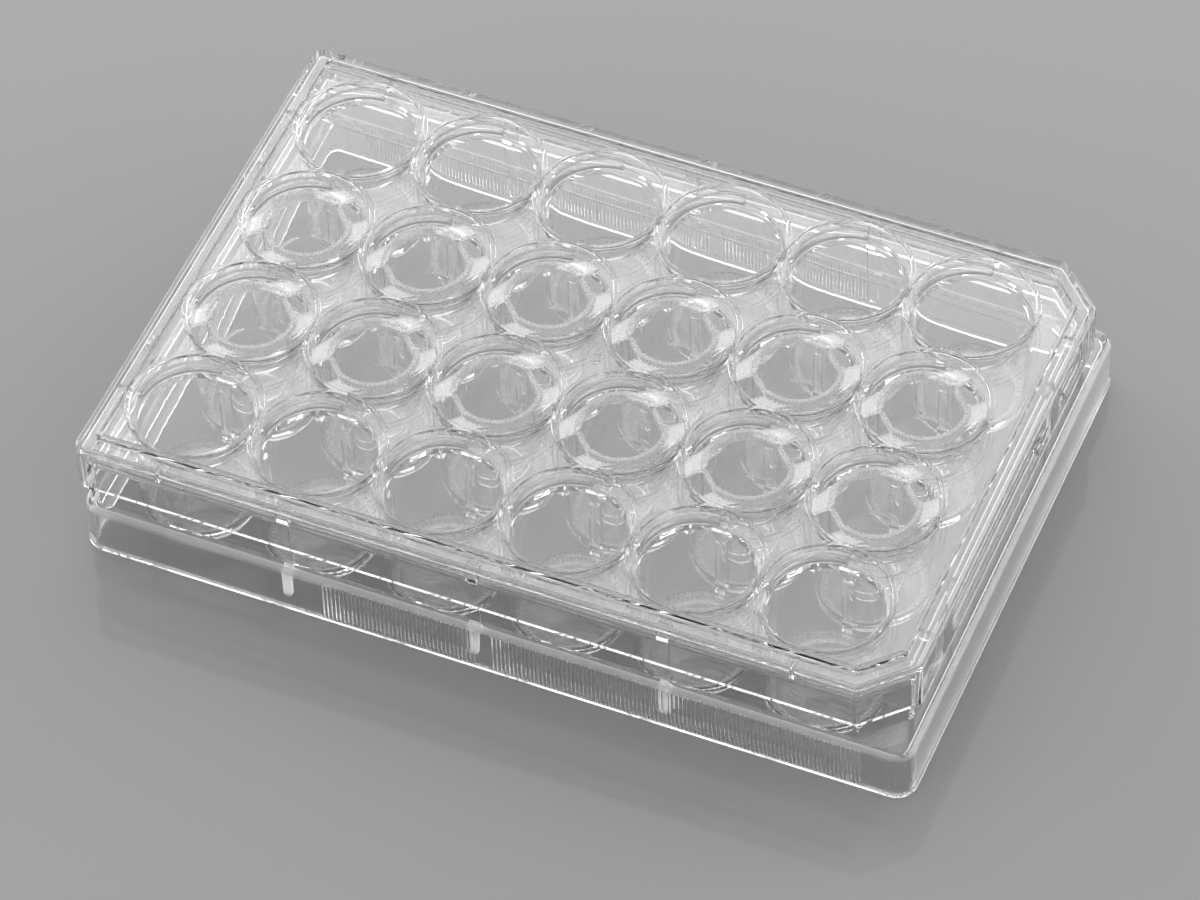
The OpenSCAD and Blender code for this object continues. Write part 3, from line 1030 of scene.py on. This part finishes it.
# %% Frost the gussets and the feet of the wells
FROST_GRAIN, FROST_DEPTH = 2600, 0.00003
FROST_TINT = (0.98, 0.985, 0.99)
GLOW = (0.95, 0.95, 0.95)
GLOW_FROM, GLOW_TO = (4.0 * MM, 0.85), (6.5 * MM, 0.35)


def frosted(name, rough, clear, lamps, glowing=False):
    """A ground face. A glowing one is milky between two heights, by a share at each."""
    tree = Tree(name)
    grain = tree.noise(tree.coords, FROST_GRAIN, 3.0)
    spread = tree.step(grain, 0.3, 0.7, rough * 0.7, rough * 1.3)
    tree.links.new(spread, tree.shader.inputs["Roughness"])
    tree.clear(FROST_TINT, IOR, clear)
    tree.bump(grain, FROST_DEPTH)
    last = tree.lamps_through(lamps)
    if glowing:
        glow = tree.nodes.new("ShaderNodeBsdfTranslucent")
        glow.inputs["Color"].default_value = (*GLOW, 1)
        milky = tree.nodes.new("ShaderNodeMixShader")
        height = tree.part(tree.coords, 2)
        share = tree.step(height, GLOW_FROM[0], GLOW_TO[0], GLOW_FROM[1], GLOW_TO[1])
        tree.links.new(share, milky.inputs["Fac"])
        tree.links.new(tree.shader.outputs[0], milky.inputs[1])
        tree.links.new(glow.outputs[0], milky.inputs[2])
        tree.links.new(milky.outputs[0], last.inputs[1])
    return tree.made


gusset_finish = frosted("frosted_base", 0.5, 1.0, 0.9, glowing=True)
foot_finish = frosted("well_foot", 0.3, 0.55, THROUGH)
print("frosted:", gusset_finish.name, foot_finish.name)

# %% [markdown]
# The plain stretches of the skirt are satin rather than ground: they get rougher
# towards the shoulder and the corners, and the very edge of the shoulder is a little
# milky. Soft steps over height and length place the satin, so it needs no map.

# %% Make the plain parts of the skirt satin
SHOULDER_FROM, SHOULDER_TO = 6.2 * MM, 8.2 * MM
CORNER_FROM, CORNER_TO = 57.5 * MM, 63.0 * MM
EDGE_FROM, EDGE_TO = 7.6 * MM, 8.5 * MM
MOTTLE, LEAST_SATIN, MORE_SATIN, MILK = 2400, 0.10, 0.3, 0.5


def satin_skirt():
    """Clear plastic with a satin shoulder and satin corners."""
    tree = Tree("skirt_satin")
    height = tree.part(tree.coords, 2)
    sideways = tree.sum("ABSOLUTE", tree.part(tree.coords, 0))
    shoulder = tree.step(height, SHOULDER_FROM, SHOULDER_TO)
    corner = tree.step(sideways, CORNER_FROM, CORNER_TO)
    mottle = tree.step(tree.noise(tree.coords, MOTTLE, 2.0), 0.3, 0.7, 0.75, 1.0)
    patch = tree.sum("MULTIPLY", tree.sum("MAXIMUM", shoulder, corner), mottle)
    satin = tree.sum("MULTIPLY_ADD", patch, MORE_SATIN, LEAST_SATIN)
    edge = tree.sum("MULTIPLY", tree.step(height, EDGE_FROM, EDGE_TO), mottle)
    tree.clear(CLEAR_TINT)
    tree.links.new(satin, tree.shader.inputs["Roughness"])
    clear = tree.sum("MULTIPLY_ADD", edge, -MILK, 1.0)
    tree.links.new(clear, tree.shader.inputs["Transmission Weight"])
    tree.lamps_through(THROUGH)
    return tree.made


skirt_finish = satin_skirt()
print("satin:", skirt_finish.name)

# %% [markdown]
# The inserts come from a smaller tool. Their mouth and tabs are satin, so that they
# can be gripped and seen, and below they are clear with the same streaks as the wells.

# %% Make the inserts satin at the mouth and clear below
CUP_TINT = (0.97, 0.975, 0.98)
MOUTH_FROM, MOUTH_TO = 18.55 * MM, 18.85 * MM
CUP_GRAIN, CUP_DEPTH, CUP_FLOW = 3200, 0.00003, 0.7


def insert_plastic():
    """Clear plastic with a satin mouth."""
    tree = Tree("clear_insert")
    top = tree.step(tree.part(tree.coords, 2), MOUTH_FROM, MOUTH_TO)
    grain = tree.noise(tree.coords, CUP_GRAIN, 2.0)
    satin = tree.step(grain, 0.3, 0.7, 0.22, 0.38)
    tree.clear(CUP_TINT)
    tree.links.new(tree.sum("MULTIPLY", top, satin), tree.shader.inputs["Roughness"])
    clear = tree.sum("MULTIPLY_ADD", top, -0.14, 1.0)
    tree.links.new(clear, tree.shader.inputs["Transmission Weight"])
    ground = tree.sum("MULTIPLY", top, grain)
    uneven = tree.sum("MULTIPLY_ADD", ground, 0.3, flow_lines(tree, CUP_FLOW))
    tree.bump(uneven, CUP_DEPTH)
    tree.lamps_through(THROUGH)
    return tree.made


insert_finish = insert_plastic()
print("insert:", insert_finish.name)

# %% [markdown]
# A membrane is a film a hundredth of a millimetre thick, full of tiny pores that
# scatter some light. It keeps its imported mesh, and a fine noise stands for the pores.

# %% Make the membranes a thin milky film
FILM_TINT, FILM_INDEX, FILM_CLEAR = (0.93, 0.93, 0.92), 1.4, 0.95
PORES, PORE_DEPTH = 5200, 0.00001


def film():
    """A thin milky film with pores."""
    tree = Tree("membrane_film")
    pores = tree.noise(tree.coords, PORES, 2.0)
    tree.links.new(tree.step(pores, 0.35, 0.65, 0.06, 0.14), tree.shader.inputs["Roughness"])
    tree.clear(FILM_TINT, FILM_INDEX, FILM_CLEAR)
    tree.bump(pores, PORE_DEPTH)
    tree.lamps_through(0.9)
    return tree.made


film_finish = film()
print("film:", film_finish.name)

# %% [markdown]
# The base is one mesh with five finishes. Which one a face gets is decided by where
# the face is: on a front gusset, in a well's foot, on a well's wall, or on a plain
# stretch of the skirt. The rest is clear. Painting the faces by hand would do it
# too, but a rule still holds when a size changes.

# %% Choose a finish for each face of the base
CLEAR, FROST, WALL, SATIN, FOOT = range(5)
NEAR = 0.06


def finish_for(face):
    """The slot of the finish that one face of the base takes."""
    x, y, z = (v / MM for v in face.center)
    from_post = min(abs(x - GRID_X - i * POST_PITCH_X) for i in (-1, 0, 1))
    well_x = min(COLUMNS, key=lambda c: abs(c - x))
    well_y = min(ROWS, key=lambda r: abs(r - y))
    from_well = math.hypot(x - well_x, y - well_y)
    from_end = BASE_L / 2 - abs(x)
    from_edge = min(from_end, BASE_W / 2 - abs(y))
    if y < 0 and from_post < 1.05 and 2.0 < z < LEDGE_H - 0.5:
        if inner_face - 0.7 < abs(y) < inner_face + 0.02:
            return FROST
    in_fillet = WELL_FLOOR_R - FILLET < from_well < WELL_FLOOR_R + 0.2
    if in_fillet and FLOOR_H + 0.01 < z < FLOOR_H + FILLET:
        return FOOT
    if from_well < RIM_R + 0.1 and z < SEAT_H - 0.1 and abs(face.normal.z) < 0.4:
        return WALL
    if z < LEDGE_H + 0.05 and from_edge < RIDGE_OUT + 0.8:
        shoulder = z > LEDGE_H - 0.8
        along = -x if y > 0 else x
        ridged = RUN_LEFT - 0.1 < along < RUN_RIGHT + 0.1
        plain = from_end < RIDGE_OUT + NEAR or not ridged
        if shoulder or (from_edge < RIDGE_OUT + NEAR and plain):
            return SATIN
    return CLEAR


for finish in (base_finish, gusset_finish, wall_finish, skirt_finish, foot_finish):
    base.data.materials.append(finish)
for face in base.data.polygons:
    face.material_index = finish_for(face)
lid.data.materials.append(lid_finish)
cup.data.materials.append(insert_finish)
for name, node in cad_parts.items():
    if name.startswith("membrane"):
        for slot in node.material_slots:
            slot.material = film_finish
chosen = [face.material_index for face in base.data.polygons]
print("faces with each finish:", [chosen.count(i) for i in range(5)])

# %% [markdown]
# ## The bench and the light
#
# The plate stands on a plain pale bench with a faint gloss. Clear plastic shows only
# what it bends and mirrors, so the light around it matters more than its own colour.

# %% Lay the bench
BENCH_HALF, BENCH_DROP = 4, 0.05
BENCH_TINT, BENCH_ROUGH, BENCH_GLOSS = (0.42, 0.42, 0.425), 0.08, 0.2

bench_mesh = bpy.data.meshes.new("bench")
work = bmesh.new()
bmesh.ops.create_grid(work, x_segments=8, y_segments=8, size=BENCH_HALF)
work.to_mesh(bench_mesh)
work.free()
bench = bpy.data.objects.new("bench", bench_mesh)
scene.collection.objects.link(bench)
bench.location.z = -BENCH_DROP * MM
bench_finish = bpy.data.materials.new("bench")
bench_finish.use_nodes = True
bench_shader = bench_finish.node_tree.nodes["Principled BSDF"]
bench_shader.inputs["Base Color"].default_value = (*BENCH_TINT, 1)
bench_shader.inputs["Roughness"].default_value = BENCH_ROUGH
bench_shader.inputs["Specular IOR Level"].default_value = BENCH_GLOSS
bench_mesh.materials.append(bench_finish)
print("bench:", 2 * BENCH_HALF, "m wide,", BENCH_DROP, "mm below the plate")

# %% [markdown]
# A large softbox behind and above fills the wells with light that comes through them,
# and one straight above keeps the deck even. Two low lamps, left and right, stand where the
# rounded shoulders of the lid's rings mirror them, and draw the bright lines.


# %% Set the lamps
def softbox(name, towards, away, width, height, radiance):
    """A flat lamp that faces the plate. Its radiance is what a mirror would show."""
    lamp = bpy.data.lights.new(name, "AREA")
    lamp.shape = "RECTANGLE"
    lamp.size, lamp.size_y = width, height
    lamp.energy = radiance * math.pi * width * height
    held = bpy.data.objects.new(name, lamp)
    scene.collection.objects.link(held)
    towards = Vector(towards).normalized()
    held.location = towards * away
    held.rotation_euler = towards.to_track_quat("Z", "Y").to_euler()
    return held


KEY, TOP, STRIP = 2.1, 2.5, 6.0
lamps = [
    softbox("key_softbox", (-0.267, 0.590, 0.762), 1.3, 1.1, 0.95, KEY),
    softbox("top_softbox", (-0.05, 0.05, 1.0), 1.4, 0.8, 0.5, TOP),
    softbox("left_strip", (-0.95, 0.36, 0.30), 1.3, 0.5, 0.45, STRIP),
    softbox("right_strip", (0.42, 0.92, 0.30), 1.3, 0.5, 0.45, STRIP),
]
print("lamps:", [lamp.name for lamp in lamps])

# %% [markdown]
# The room is a world shader instead of walls. By height it goes from a dim floor over
# a bright band to a dark ceiling, which gives every edge something light and
# something dark to bend. It could be a picture of a studio, but a few stops in a
# colour ramp are easier to adjust.

# %% Grade the room by height
room = bpy.data.worlds.new("studio")
scene.world = room
room.use_nodes = True
nodes, links = room.node_tree.nodes, room.node_tree.links
where = nodes.new("ShaderNodeTexCoord").outputs["Generated"]
axes = nodes.new("ShaderNodeSeparateXYZ")
links.new(where, axes.inputs[0])
by_height = nodes.new("ShaderNodeValToRGB")
links.new(axes.outputs["Z"], by_height.inputs["Fac"])
WALLS = ((0.0, 0.2), (0.06, 0.9), (0.30, 1.0), (0.52, 0.10), (1.0, 0.08))
for place, level in WALLS[1:-1]:
    by_height.color_ramp.elements.new(place)
for stop, (place, level) in zip(by_height.color_ramp.elements, WALLS):
    stop.position = place
    stop.color = (level, level, level, 1)
print("levels by height:", WALLS)

# %% [markdown]
# The band is brighter to the sides than ahead and behind, so that upright walls seen
# from the front keep some contrast. The share is how far a direction points sideways.

# %% Make the band brighter to the sides
SIDEWAYS = (0.911, 0.412, 0.0)
SIDE_RANGE = {"From Min": 0.2, "From Max": 0.8, "To Min": 0.35, "To Max": 1.3}
ROOM_STRENGTH = 1.5

across = nodes.new("ShaderNodeVectorMath")
across.operation = "DOT_PRODUCT"
across.inputs[1].default_value = SIDEWAYS
links.new(where, across.inputs[0])
either_side = nodes.new("ShaderNodeMath")
either_side.operation = "ABSOLUTE"
links.new(across.outputs["Value"], either_side.inputs[0])
by_side = nodes.new("ShaderNodeMapRange")
links.new(either_side.outputs[0], by_side.inputs["Value"])
for name, value in SIDE_RANGE.items():
    by_side.inputs[name].default_value = value
shade = nodes.new("ShaderNodeVectorMath")
shade.operation = "SCALE"
links.new(by_height.outputs["Color"], shade.inputs[0])
links.new(by_side.outputs["Result"], shade.inputs["Scale"])
links.new(shade.outputs["Vector"], nodes["Background"].inputs["Color"])
nodes["Background"].inputs["Strength"].default_value = ROOM_STRENGTH
scene.view_settings.view_transform = "Standard"
print("room strength:", ROOM_STRENGTH)

# %% [markdown]
# ## Long light paths
#
# Light that enters the edge of a clear sheet runs along inside it and leaves at the
# next edge, which is why the edges of a plate look bright. Such a path mirrors many
# times, so the limits on mirroring are raised. Light that the bench scatters back up
# into the plate changes little, and is left out.

# %% Let light run through the walls
PATH_LENGTH = 24
scene.cycles.max_bounces = PATH_LENGTH
scene.cycles.transmission_bounces = PATH_LENGTH
scene.cycles.glossy_bounces = PATH_LENGTH
scene.cycles.transparent_max_bounces = PATH_LENGTH
scene.cycles.diffuse_bounces = 0
print("faces that a path may meet:", PATH_LENGTH)
